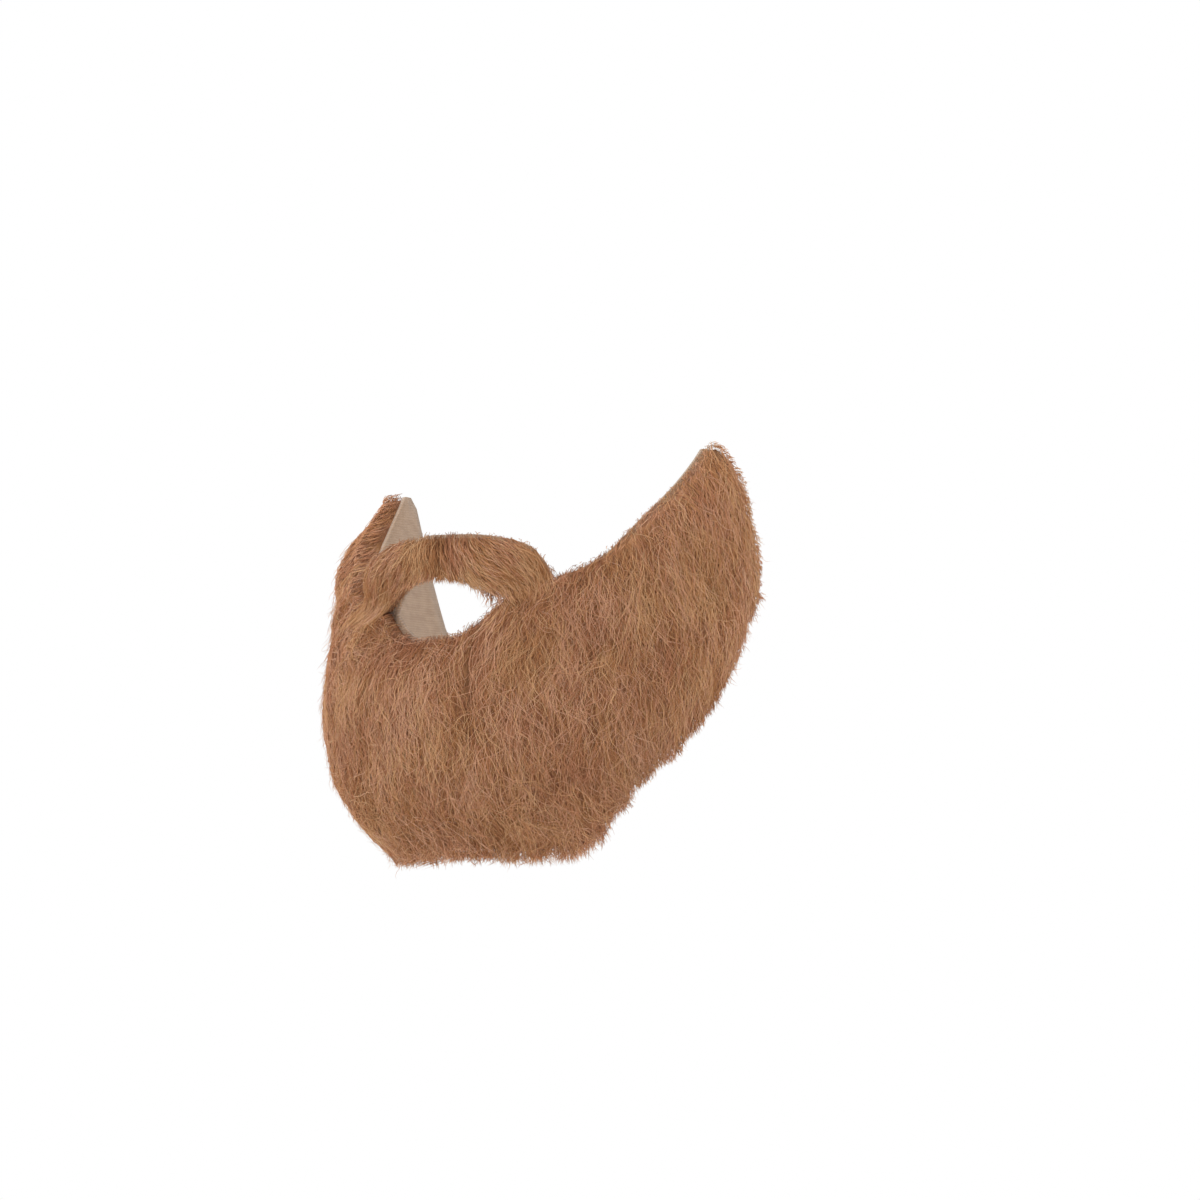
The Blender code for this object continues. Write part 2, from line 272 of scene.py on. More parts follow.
# how the hair lies, in degrees from straight down, and the heights and angles where it turns
lie = dict(
    cheekSweep=19.0,    # back towards the ear, on the cheek
    cheekFade=0.035,    # below its upper edge
    cheekHeights=(-0.005, 0.015),
    jawSweep=9.0,       # back, at the sides of the jaw
    sideAngles=(30, 46),
    napeSweep=-8.0,     # forwards, low at the rear
    napeAngles=(48, 68),
    napeHeights=(-0.030, -0.004),
    lipDrift=36.0,      # towards the wearer's left, under the mouth
    mouthHeights=(0.0, 0.016),
    mouthAngles=(3, 15),
    chinDrift=-6.0,     # and to the right on the chin
    hemFade=(-0.045, -0.025),
    sideFade=(24, 38),
    sideShare=0.6,
    underDrift=-22.0,   # more so under its right corner
    underHeights=(0.018, 0.036),
    underAngles=(-8, 18),
    lipMiddle=10.0,     # moustache, outwards at its parting
    lipSide=48.0,
    lipAngles=(1, 12),
    lipEnd=18.0,
    lipEndAngles=(17, 23),
    lipParting=3.5,     # where the moustache parts, left of the middle
    partingAngle=11.2,  # and the chin hair
    partingFoot=(-0.022, 0.002),
    partingTop=(0.022, 0.028),
    partingDepth=1.3 * mm,
    partingWidth=0.8,   # mm
)

tufts = dict(
    height=0.55 * mm,
    fineShare=0.5,
    fineShift=40,
    pile=(2 * mm, 6 * mm),  # they set in where the pile is this deep
)


def partingAt(angle, z):
    # signed mm from the chin's parting, and how strong it is there
    offset = across(angle - lie["partingAngle"])
    strength = ramp(z, *lie["partingFoot"]) * (1 - ramp(z, *lie["partingTop"]))
    return offset, strength


def raiseTufts():
    # small swellings where the pile bunches, on top of the solid's locks, and the parting's groove
    angle, z = np.meshgrid(gridAngles, gridHeights, indexing="ij")
    swell = patternAt("tuft", angle, z)
    swell = swell + tufts["fineShare"] * patternAt("fineTuft", angle, z, tufts["fineShift"])
    form["outer"] += tufts["height"] * swell * ramp(form["outer"] - form["inner"], *tufts["pile"])
    gap, strength = partingAt(angle, z)
    form["outer"] -= lie["partingDepth"] * strength * np.exp(-(gap / lie["partingWidth"]) ** 2)


raiseTufts()


def leanAt(angle, z, lip):
    # positive towards the wearer's left
    away = np.abs(angle)
    below = np.maximum(atAngle(topLine, angle) - z, 0)
    sweep = (lie["cheekSweep"] - lie["jawSweep"]) * np.exp(-below / lie["cheekFade"])
    sweep = lie["jawSweep"] + sweep * ramp(z, *lie["cheekHeights"])
    mirrored = sweep * ramp(away, *lie["sideAngles"])
    mirrored += lie["napeSweep"] * ramp(away, *lie["napeAngles"]) * ramp(-z, *lie["napeHeights"])
    drift = (lie["lipDrift"] - lie["chinDrift"]) * ramp(z, *lie["mouthHeights"])
    drift = lie["chinDrift"] + drift * (1 - ramp(angle, *lie["mouthAngles"]))
    drift = drift * ramp(z, *lie["hemFade"]) * (1 - lie["sideShare"] * ramp(away, *lie["sideFade"]))
    drift += lie["underDrift"] * ramp(-z, *lie["underHeights"]) * ramp(-angle, *lie["underAngles"])
    aside = angle - lie["lipParting"]
    moustache = (lie["lipSide"] - lie["lipMiddle"]) * ramp(np.abs(aside), *lie["lipAngles"])
    moustache += lie["lipMiddle"]
    moustache += (lie["lipEnd"] - lie["lipSide"]) * ramp(away, *lie["lipEndAngles"])
    return np.where(lip, np.sign(aside) * moustache, np.sign(angle) * mirrored + drift)


def walk(angle, z, length, steps, lip, bendAt, strideAt):
    # the (angle, height) of every strand's points on its way down the pile
    path = np.empty((len(angle), steps + 1, 2))
    path[:, 0] = np.stack([angle, z], axis=1)
    for k in range(steps):
        here, down = path[:, k, 0], path[:, k, 1]
        lean = np.radians(leanAt(here, down, lip) + bendAt(k / steps, length))
        stride = length / steps * strideAt(k / steps)
        path[:, k + 1, 0] = here + np.degrees(np.sin(lean) * stride / pileAt("outer", here, down))
        path[:, k + 1, 1] = down - np.cos(lean) * stride
    return path


def combed(angle, z, length, steps, lip, radiusAt, bendAt, strideAt=lambda t: 1.0, overshoot=None):
    # the strands' points, as (strand, step, xyz)
    # with overshoot, a strand that would leave the pile is cut off that far outside it
    path = walk(angle, z, length, steps, lip, bendAt, strideAt)
    if overshoot is not None:
        outside = pileAt("kept", path[:, 1:, 0], path[:, 1:, 1]) < 0.5
        left = np.where(outside.any(axis=1), outside.argmax(axis=1) + 0.5, steps)
        length = np.minimum(length, length * left / steps + overshoot)
        path = walk(angle, z, length, steps, lip, bendAt, strideAt)
    rows = np.empty((len(angle), steps + 1, 3))
    for k in range(steps + 1):
        here, down = path[:, k, 0], path[:, k, 1]
        rows[:, k] = fromAxis(radiusAt(k / steps, length, here, down), here, down)
    return rows


# what all the strands have in common on their way
habit = dict(
    phaseSwing=4.0,             # how far the crimp's phase follows its pattern
    wispPhase=2.5,
    strandPhase=0.6,
    ownStray=0.4,               # a strand's stray from its wisp, as a share of the wisp's
    crimpShare=(0.35, 1.2),
    bowMiddle=0.7,
    weaveLength=(5, 10),        # mm
    risen=0.3,                  # a strand is up out of the pile after this share of it
    riseCurve=0.8,
    lowHeights=(0.028, 0.045),  # the lowest hair is curlier and hangs off the pile
    lowCurl=0.6,
    lowHang=1.2 * mm,
    clearance=0.3 * mm,         # from the pile's inside
    meeting=(1.0, 1.0, -0.4),   # two wisps in three run together and one fans out
    chinCalm=0.4,               # less crimp on the chin
    chinHeights=(-0.02, 0.03),
    chinAngles=(20, 38),
    partingTurn=8,              # degrees away from the chin's parting
    partingReach=2,             # mm
    partingRoots=0.35,          # mm from the parting within which most strands are left out
    partingCross=0.3,
    partingShare=0.85,
    edgeTurns=5,                # radians of wave along a strand at an edge
)


def layStrands(angle, z, length, settings, lip, rng, wisps=1, gather=0.0):
    # strands that rise out of the pile and lie on it
    # each run of wisps strands shares its sway, bow and crimp
    n = len(angle)

    def shared(draw):
        return np.repeat(draw(-(-n // wisps)), wisps)[:n]

    phase = habit["phaseSwing"] * patternAt("wave", angle, z)
    phase = phase + shared(lambda m: rng.uniform(-habit["wispPhase"], habit["wispPhase"], m))
    phase += rng.uniform(-habit["strandPhase"], habit["strandPhase"], n)
    waveLength = shared(lambda m: rng.uniform(*settings["wave"], m))
    sway = settings["sway"] * patternAt("sway", angle, z) + gather
    stray = settings["stray"]
    sway += shared(lambda m: rng.normal(0, stray, m)) + rng.normal(0, stray * habit["ownStray"], n)
    bow = shared(lambda m: rng.normal(0, settings["bow"], m))
    swing = settings["crimp"] * shared(lambda m: rng.uniform(*habit["crimpShare"], m))
    low = ramp(-z, *habit["lowHeights"])
    sway, bow, swing = (part * (1 + habit["lowCurl"] * low) for part in (sway, bow, swing))
    lift, tipLift = rng.uniform(*settings["lift"], n), rng.uniform(*settings["tipLift"], n)
    weavePhase, weaveLength = rng.uniform(0, fullTurn, n), rng.uniform(*habit["weaveLength"], n) * mm
    gap, strength = partingAt(angle, z)
    parting = habit["partingTurn"] * strength * np.sign(gap) * np.exp(-np.abs(gap) / habit["partingReach"])
    parting = np.where(lip, 0, parting)

    def radiusAt(t, length, here, down):
        rise = min(1.0, t / habit["risen"]) ** habit["riseCurve"]
        out = (settings["depth"] + lift) * rise - settings["depth"]
        out = out + tipLift * max(0.0, t - 0.5) * 2 + habit["lowHang"] * low * t
        out += settings["weave"] * rise * np.sin(2 * math.pi * t * length / weaveLength + weavePhase)
        least = pileAt("inner", here, down) + habit["clearance"]
        return np.maximum(pileAt("outer", here, down) + out, least)

    def bendAt(t, length):
        crimp = swing * np.sin(2 * math.pi * t * length / waveLength + phase)
        return sway + parting + crimp + bow * (2 * t - habit["bowMiddle"])

    overshoot = rng.uniform(*settings["overshoot"], n)
    return combed(angle, z, length, settings["steps"], lip, radiusAt, bendAt, overshoot=overshoot)


# how light the hair is, with the heights and angles that each change sets in over
shading = dict(
    fineSwing=0.20,
    broadSwing=0.14,
    spread=0.17,      # from strand to strand
    range=(0.03, 0.96),
    calm=0.35,        # the sideburns vary less
    calmHeights=(0.035, 0.055),
    calmAngles=(40, 55),
    sideburn=0.04,    # and are lighter
    sideburnHeights=(0.035, 0.06),
    sideburnAngles=(40, 60),
    # painted shade: the chin's parting, a groove, is made darker
    parting=0.55,     # the chin's parting is darker
    partingWidth=0.8,
    mouth=0.08,       # the hair under the mouth is lighter
    mouthHeights=(0.0, 0.012),
    mouthMiddle=-8,   # degrees
    mouthAngles=(10, 26),
    lip=0.12,         # as is the moustache low down
    lipHeights=(0.034, 0.046),
    lipParting=0.42,  # and its parting is darker
    lipPartingWidth=6,
    lipPartingHeights=(0.036, 0.050),
    hueSpread=0.7,
    lipGolden=0.35,
)


def shadeAt(angle, z, lip, rng, offset=0.0):
    # a strand's place on the hair's colour scale: the lower half is ruddy, the upper half golden,
    # and each half runs from dark to light
    away = np.abs(angle)
    calm = 1 - shading["calm"] * ramp(z, *shading["calmHeights"]) * ramp(away, *shading["calmAngles"])
    tone = shading["fineSwing"] * patternAt("tone", angle, z)
    tone = tone + shading["broadSwing"] * patternAt("patch", angle, z)
    tone = 0.5 + calm * (offset + tone + rng.normal(0, shading["spread"], len(angle)))
    # painted shade: darker along the chin's parting, as in its groove
    gap, strength = partingAt(angle, z)
    parting = shading["parting"] * strength * np.exp(-np.abs(gap) / shading["partingWidth"])
    tone -= np.where(lip, 0, parting)
    sideburn = shading["sideburn"] * ramp(z, *shading["sideburnHeights"])
    tone += sideburn * ramp(away, *shading["sideburnAngles"])
    aside = np.abs(angle - shading["mouthMiddle"])
    mouth = shading["mouth"] * ramp(z, *shading["mouthHeights"]) * (1 - ramp(aside, *shading["mouthAngles"]))
    tone += np.where(lip, 0, mouth)
    middle = np.exp(-(across(angle - lie["lipParting"]) / shading["lipPartingWidth"]) ** 2)
    lipTone = shading["lip"] - shading["lip"] * ramp(z, *shading["lipHeights"])
    lipTone = lipTone - shading["lipParting"] * middle * ramp(z, *shading["lipPartingHeights"])
    tone += np.where(lip, lipTone, 0)
    golden = rng.uniform(-shading["hueSpread"], shading["hueSpread"], len(angle))
    golden = golden < patternAt("hue", angle, z) + shading["lipGolden"] * lip
    return 0.5 * (golden + np.clip(tone, *shading["range"]))


def scatterRoots(spacing, mask, rng):
    # a jittered grid of roots over a mask, as many to the square millimetre in front as at the sides
    stepAngle = math.degrees(spacing / head["greatestRadius"])
    angles = np.arange(-head["widest"], head["widest"], stepAngle)
    heights = np.arange(head["lowest"], head["highest"], spacing)
    angle, z = (part.ravel() for part in np.meshgrid(angles, heights))
    angle = angle + rng.uniform(0, stepAngle, len(angle))
    z = z + rng.uniform(0, spacing, len(z))
    keep = readGrid(mask, angle, z) > 0.5
    keep &= rng.uniform(0, head["greatestRadius"], len(angle)) < pileAt("outer", angle, z)
    return angle[keep], z[keep]


def newNode(tree, kind, group=None, **inputs):
    node = tree.nodes.new("ShaderNode" + kind)
    if group:
        node.node_tree = group
    for name, value in inputs.items():
        node.inputs[name].default_value = value
    return node


def newGroup(name, inputs, outputs):
    # a node group, and the sockets that give and take inside it
    group = bpy.data.node_groups.new(name, "ShaderNodeTree")
    for side, sockets in (("INPUT", inputs), ("OUTPUT", outputs)):
        for socket, kind in sockets.items():
            group.interface.new_socket(socket, in_out=side, socket_type="NodeSocket" + kind)
    given, result = group.nodes.new("NodeGroupInput"), group.nodes.new("NodeGroupOutput")
    return group, given.outputs, result.inputs


def mathNode(tree, kind, *values):
    # a Math node whose inputs are other nodes' outputs or plain numbers
    node = newNode(tree, "Math")
    node.operation = kind
    for socket, value in zip(node.inputs, values):
        if hasattr(value, "is_output"):
            tree.links.new(value, socket)
        else:
            socket.default_value = value
    return node.outputs["Value"]


def colourMix(tree, kind, factor, first, second):
    node = newNode(tree, "Mix")
    node.data_type = "RGBA"
    node.blend_type = kind
    for name, value in (("Factor", factor), ("A", first), ("B", second)):
        if hasattr(value, "is_output"):
            tree.links.new(value, node.inputs[name])
        else:
            node.inputs[name].default_value = value
    return node.outputs["Result"]


def newMaterial(name):
    made = bpy.data.materials.new(name)
    made.use_nodes = True
    return made, made.node_tree, made.node_tree.nodes["Principled BSDF"]


def hairToneGroup():
    # colour and roughness of hair from its tone, its hue and the place along it, with painted shade that
    # darkens it towards the root inside the pile
    inputs = dict.fromkeys(("Tone", "Hue", "Along", "RootShade"), "Float")
    inputs |= dict.fromkeys(("Dark", "Middle", "Light", "Golden"), "Color")
    group, given, result = newGroup("hairTone", inputs, dict(Colour="Color", Roughness="Float"))
    lower = newNode(group, "MapRange", **{"From Min": 0.0, "From Max": 0.5})
    upper = newNode(group, "MapRange", **{"From Min": 0.5, "From Max": 1.0})
    # painted shade: the colour darkens towards the root, where the strand lies inside the pile
    rootShade = newNode(group, "MapRange", **{"From Min": 0.0, "From Max": 0.45, "To Max": 1.0})
    rootShade.interpolation_type = "SMOOTHSTEP"
    shine = newNode(group, "MapRange", **{"To Min": 0.62, "To Max": 0.46})
    for node in (lower, upper, shine):
        group.links.new(given["Tone"], node.inputs["Value"])
    group.links.new(given["Along"], rootShade.inputs["Value"])
    group.links.new(given["RootShade"], rootShade.inputs["To Min"])
    colour = colourMix(group, "MIX", lower.outputs["Result"], given["Dark"], given["Middle"])
    colour = colourMix(group, "MIX", upper.outputs["Result"], colour, given["Light"])
    colour = colourMix(group, "MULTIPLY", given["Hue"], colour, given["Golden"])
    colour = colourMix(group, "MULTIPLY", 1.0, colour, rootShade.outputs["Result"])
    group.links.new(colour, result["Colour"])
    group.links.new(shine.outputs["Result"], result["Roughness"])
    return group


hairTone = hairToneGroup()
hairColours = dict(
    Dark=(0.285, 0.113, 0.049, 1),
    Middle=(0.550, 0.243, 0.124, 1),
    Light=(0.800, 0.475, 0.306, 1),
    Golden=(0.985, 1.025, 0.850, 1),
    # painted shade: how dark a strand is painted at its root, inside the pile
    RootShade=0.62,
)


def strandMaterial(name, colours):
    # the map's two halves across hold the ruddy and the golden tones, and it runs along the strand upwards
    made, tree, shader = newMaterial(name)
    place = newNode(tree, "UVMap")
    place.uv_map = "OFBake"
    split = newNode(tree, "SeparateXYZ")
    tree.links.new(place.outputs["UV"], split.inputs["Vector"])
    tone = newNode(tree, "Group", hairTone, **colours)
    doubled = mathNode(tree, "MULTIPLY", split.outputs["X"], 2.0)
    tree.links.new(mathNode(tree, "FRACT", doubled), tone.inputs["Tone"])
    tree.links.new(mathNode(tree, "GREATER_THAN", doubled, 1.0), tone.inputs["Hue"])
    tree.links.new(split.outputs["Y"], tone.inputs["Along"])
    tree.links.new(tone.outputs["Colour"], shader.inputs["Base Color"])
    tree.links.new(tone.outputs["Roughness"], shader.inputs["Roughness"])
    shader.inputs["Specular IOR Level"].default_value = 0.15
    return made


gingerStrands = strandMaterial("ginger strands", hairColours)
print("hair finish made")

tube = dict(
    sides=3,
    rootShare=0.65,  # of its full width, at the root
    swelling=2.2,
    tipLoss=0.55,
    mapStep=0.003,   # from side to side
    mapStart=0.01,
    mapLength=0.98,
)


def tubeRings(rows, width):
    # the corners of every strand's rings
    rings, sides = rows.shape[1] - 1, tube["sides"]
    tangent = np.gradient(rows, axis=1)
    tangent /= np.linalg.norm(tangent, axis=2, keepdims=True)
    outward = rows - np.array([0, head["axisY"], 0])
    outward[:, :, 2] = 0
    side = np.cross(tangent, outward)
    side /= np.maximum(np.linalg.norm(side, axis=2, keepdims=True), 1e-9)
    up = np.cross(side, tangent)
    t = np.arange(rings) / rings
    taper = np.minimum(1.0, tube["rootShare"] + tube["swelling"] * t) * (1 - tube["tipLoss"] * t ** 3)
    radius = 0.5 * width[:, None] * taper[None, :]
    turn = np.linspace(0, 2 * math.pi, sides + 1)[:sides][None, None, :, None]
    ring = np.cos(turn) * side[:, :rings, None] - np.sin(turn) * up[:, :rings, None]
    return rows[:, :rings, None] + radius[:, :, None, None] * ring


def strandPiece(name, rows, width, shade):
    # every strand is a closed three-sided tube that tapers to its tip
    # its map holds its shade and the place along it
    n, rings, sides = len(rows), rows.shape[1] - 1, tube["sides"]
    size = rings * sides + 1
    coords = np.concatenate([tubeRings(rows, width).reshape(n, rings * sides, 3), rows[:, -1:]], axis=1)
    around = [(j, (j + 1) % sides) for j in range(sides)]
    starts = [r * sides for r in range(rings)]
    quads = [(s + a, s + b, s + sides + b, s + sides + a) for s in starts[:-1] for a, b in around]
    tips = [(starts[-1] + a, starts[-1] + b, size - 1) for a, b in around] + [(2, 1, 0)]
    base = (np.arange(n) * size)[:, None]
    corners = np.concatenate([base + np.array(quads).ravel(), base + np.array(tips).ravel()], axis=1)
    sizes = np.tile([4] * len(quads) + [3] * len(tips), n)
    along = np.concatenate([np.repeat(np.arange(rings) / rings, sides), [1.0]])
    along = np.tile(tube["mapStart"] + tube["mapLength"] * along, (n, 1))
    spread = np.concatenate([np.tile([0, 1, 2], rings), [1]]) * tube["mapStep"]
    uv = np.stack([shade[:, None] + spread[None, :], along], axis=2).reshape(-1, 2)
    mesh = bpy.data.meshes.new(name)
    mesh.vertices.add(n * size)
    mesh.vertices.foreach_set("co", coords.astype(np.float32).ravel())
    mesh.loops.add(corners.size)
    mesh.loops.foreach_set("vertex_index", corners.ravel().astype(np.int32))
    mesh.polygons.add(len(sizes))
    loopStarts = np.concatenate([[0], np.cumsum(sizes)[:-1]])
    mesh.polygons.foreach_set("loop_start", loopStarts.astype(np.int32))
    mesh.update(calc_edges=True)
    layer = mesh.uv_layers.new(name="OFBake")
    layer.data.foreach_set("uv", uv[corners.ravel()].astype(np.float32).ravel())
    mesh.polygons.foreach_set("use_smooth", np.ones(len(sizes), bool))
    mesh.materials.append(gingerStrands)
    piece = bpy.data.objects.new(name, mesh)
    bpy.context.scene.collection.objects.link(piece)
    print(" ", name, n, "strands,", n * (len(quads) * 2 + len(tips)), "triangles")
    return piece


def pileStrands(settings, seed, onLip=False):
    # roots all over the pile, in wisps whose strands run together or fan out
    rng = np.random.default_rng(seed)
    mask = blurred((lipMask if onLip else beardMask) * 1.0, settings.get("inset", 0.6))
    angle, z = scatterRoots(settings["spacing"], mask, rng)
    wisps = settings.get("wisps", 1)
    angle, z = np.repeat(angle, wisps), np.repeat(z, wisps)
    n = len(angle)
    length = rng.uniform(*settings["length"], n)
    gather = 0.0
    if wisps > 1:
        offset = rng.normal(0, settings["spread"], n)
        angle = angle + np.degrees(offset / head["meanRadius"])
        z = z + rng.normal(0, settings["spread"], n)
        meeting = np.repeat(rng.choice(habit["meeting"], n // wisps), wisps)
        gather = -np.degrees(np.arctan(meeting * offset / length))
    onChin = ramp(-z, *habit["chinHeights"]) * (1 - ramp(np.abs(angle), *habit["chinAngles"]))
    calm = {**settings, "crimp": settings["crimp"] * (1 - habit["chinCalm"] * onChin)}
    rows = layStrands(angle, z, length, calm, onLip, rng, wisps, gather)
    gap = partingAt(roundAxis(rows)[1], rows[:, :, 2])[0]
    strength = partingAt(angle, z)[1]
    crosses = (gap.min(axis=1) < -habit["partingCross"]) & (gap.max(axis=1) > habit["partingCross"])
    crosses |= np.abs(gap[:, 0]) < habit["partingRoots"]
    keep = rng.uniform(0, 1, n) > habit["partingShare"] * strength * crosses * (not onLip)
    shade = shadeAt(angle, z, onLip, rng, settings["tone"])
    keep &= pileAt("kept", angle, z) > 0.5
    return angle[keep], rows[keep], rng.uniform(*settings["width"], n)[keep], shade[keep]


# settings of a kind of hair: these are lengths, given in mm; angles are in degrees
# spacing is between roots or wisps, depth is how deep in the pile a strand starts,
# weave how far it rises and dips, downhill how far it follows its edge before it falls
inMm = ("spacing", "spread", "length", "width", "depth", "lift", "tipLift", "overshoot", "weave", "wave")
inMm += ("out", "reach", "inside", "below", "upTo")


def hairKind(**settings):
    for key in (key for key in inMm if key in settings):
        value = settings[key]
        settings[key] = tuple(v * mm for v in value) if isinstance(value, tuple) else value * mm
    return settings


# the beard's hair
underHair = hairKind(
    spacing=1.33, length=(8, 14), width=(0.19, 0.31), steps=4,
    depth=1.8, lift=(-0.2, 0.6), tipLift=(-0.4, 0.4), overshoot=(0, 1.5),
    weave=0.30, wave=(6, 10), sway=14.0, stray=17.0, bow=14.0, crimp=31.0, tone=-0.13)
wispHair = hairKind(
    spacing=2.85, wisps=3, spread=0.9, length=(13, 26), width=(0.14, 0.23), steps=7,
    depth=1.4, lift=(0.3, 1.1), tipLift=(-0.9, 0.6), overshoot=(0, 1.8),
    weave=0.40, wave=(8, 15), sway=16.0, stray=23.0, bow=26.0, crimp=22.0, tone=0.24)
# each zone of the beard, with the degrees that it runs between
zones = (
    ("right_cheek", -180, -44),
    ("right_jaw", -44, -15),
    ("chin", -15, 15),
    ("left_jaw", 15, 44),
    ("left_cheek", 44, 180),
)
beardPieces = []
for kind, settings, seed in (("under_hair", underHair, 5), ("wisps", wispHair, 6)):
    angle, rows, width, shade = pileStrands(settings, seed)
    for name, start, end in zones:
        chosen = (angle >= start) & (angle < end)
        strands = rows[chosen], width[chosen], shade[chosen]
        beardPieces.append(strandPiece(f"{name}_{kind}", *strands))

cheekLineHair = hairKind(
    perPlace=8, length=(6, 11), width=(0.18, 0.30), steps=4, out=0.9, reach=4.5, downhill=0.8)
edging = dict(
    upwards=-0.35,      # edges that face further down than this are the hem's
    jitter=(0.5, 0.6),  # degrees and mm
    levelling=0.3,
    sideAngles=(34, 42),
    least=0.1 * mm,
    over=(-0.3, 0.4),   # mm
    stray=18,
    wave=26,
    outBy=0.8,          # share of its length by which a strand is outside
    fallFrom=0.3,
    firstStride=0.7,
    fullStrideBy=0.5,
    overshoot=1.2,      # mm
    tone=0.04,
)


def edgeStrands(mask, lip, seed, settings):
    # hair that comes out through the thickness of the upper and rear edges and falls over them
    rng = np.random.default_rng(seed)
    slopeA, slopeZ = np.gradient(-form["mask"])
    i, k = (np.tile(part, settings["perPlace"]) for part in np.nonzero(rimOf(mask, pileMask)))
    normal = np.stack([slopeA[i, k], slopeZ[i, k]], axis=1)
    normal /= np.maximum(np.linalg.norm(normal, axis=1, keepdims=True), 1e-9)
    keep = normal[:, 1] > edging["upwards"]
    i, k, normal = i[keep], k[keep], normal[keep]
    n = len(i)
    turned, raised = edging["jitter"]
    angle = gridAngles[i] + rng.uniform(-turned, turned, n)
    z = gridHeights[k] + rng.uniform(-raised, raised, n) * mm
    inner, outer = pileAt("inner", angle, z), pileAt("outer", angle, z)
    level = np.abs(normal[:, 0]) + edging["levelling"]
    downhill = np.degrees(np.arctan2(normal[:, 1] * np.sign(normal[:, 0]), level))
    share = rng.uniform(0.0, 1.0, n)
    downhill = settings["downhill"] * downhill * ramp(np.abs(angle), *edging["sideAngles"])
    gain = np.minimum(1 - share, settings["reach"] / (outer - inner))
    length = rng.uniform(*settings["length"], n)
    out = edging["least"] + rng.uniform(0.0, 1.0, n) * settings["out"]
    over = rng.uniform(*edging["over"], n) * mm
    phase, sway = rng.uniform(0, fullTurn, n), rng.normal(0, edging["stray"], n)

    def radiusAt(t, length, here, down):
        low, high = pileAt("inner", here, down), pileAt("outer", here, down)
        return low + (share + gain * ramp(t, 0.0, edging["outBy"])) * (high - low) + over * t

    def bendAt(t, length):
        falling = downhill * (1 - ramp(t, edging["fallFrom"], 1.0))
        return falling + sway + edging["wave"] * np.sin(habit["edgeTurns"] * t + phase)

    def strideAt(t):
        first = edging["firstStride"]
        return first + (1 - first) * ramp(t, 0.0, edging["fullStrideBy"])

    start, top = angle + np.degrees(normal[:, 0] * out / outer), z + normal[:, 1] * out
    overshoot = rng.uniform(0, edging["overshoot"], n) * mm
    rows = combed(start, top, length, settings["steps"], lip, radiusAt, bendAt, strideAt, overshoot)
    return rows, rng.uniform(*settings["width"], n), shadeAt(angle, z, lip, rng, edging["tone"])


cheekLine = edgeStrands(beardMask, False, 7, cheekLineHair)
beardPieces.append(strandPiece("cheek_line_hair", *cheekLine))

hemHair = hairKind(perPlace=11, steps=3, inside=(0.5, 7), below=(0, 2.4), width=(0.18, 0.30))
hemming = dict(
    downwards=-0.25,
    jitter=0.5,         # degrees
    hangShare=(0.5, 1.0),
    depth=(0.05, 1.0),  # share of the pile's thickness
    stray=13,
    wave=18,
    drift=0.8,          # mm
)


def curling(sway, curl, phase):
    return lambda t, length: sway + curl * np.sin(habit["edgeTurns"] * t + phase)


def hemStrands(mask, lip, seed, settings):
    # hair that hangs out of the lower edges through their whole thickness
    rng = np.random.default_rng(seed)
    whole = mask | (blurred(mask * 1.0, head["lockBlur"]) > 0.5) if lip else hangMask
    slopeA, slopeZ = np.gradient(-blurred(whole * 1.0, 1.0))
    inside = rimOf(whole, whole) & ~(lip & beardMask)
    i, k = (np.tile(part, settings["perPlace"]) for part in np.nonzero(inside))
    facing = slopeZ[i, k] / np.maximum(np.hypot(slopeA[i, k], slopeZ[i, k]), 1e-9)
    keep = facing < hemming["downwards"]
    i, k = i[keep], k[keep]
    n = len(i)
    rise = rng.uniform(*settings["inside"], n)
    angle = gridAngles[i] + rng.uniform(-hemming["jitter"], hemming["jitter"], n)
    drop = hangAt(angle) * (not lip)
    z = gridHeights[k] + rise + np.maximum(-drop, 0)
    length = rise + rng.uniform(*settings["below"], n)
    length = length + rng.uniform(*hemming["hangShare"], n) * np.maximum(drop, 0)
    share = rng.uniform(*hemming["depth"], n)
    phase, sway = rng.uniform(0, fullTurn, n), rng.normal(0, hemming["stray"], n)
    drift = rng.normal(0, hemming["drift"], n) * mm

    def radiusAt(t, length, here, down):
        inner, outer = pileAt("inner", here, down), pileAt("outer", here, down)
        return inner + share * (outer - inner) + drift * t

    lean = np.radians(leanAt(angle, z, lip))
    start = angle - np.degrees(np.sin(lean) * rise / head["meanRadius"])
    rows = combed(start, z, length, settings["steps"], lip, radiusAt, curling(sway, hemming["wave"], phase))
    return rows, rng.uniform(*settings["width"], n), shadeAt(angle, z, lip, rng)


hem = hemStrands(beardMask, False, 9, hemHair)
beardPieces.append(strandPiece("hem_hair", *hem))

insideHair = hairKind(
    spacing=2.6, inset=0.6, length=(10, 17), width=(0.24, 0.40), steps=4, tone=-0.10,
    upTo=1, depth=0.8, off=(0.2, 1.3), past=2, stray=15, curl=22)


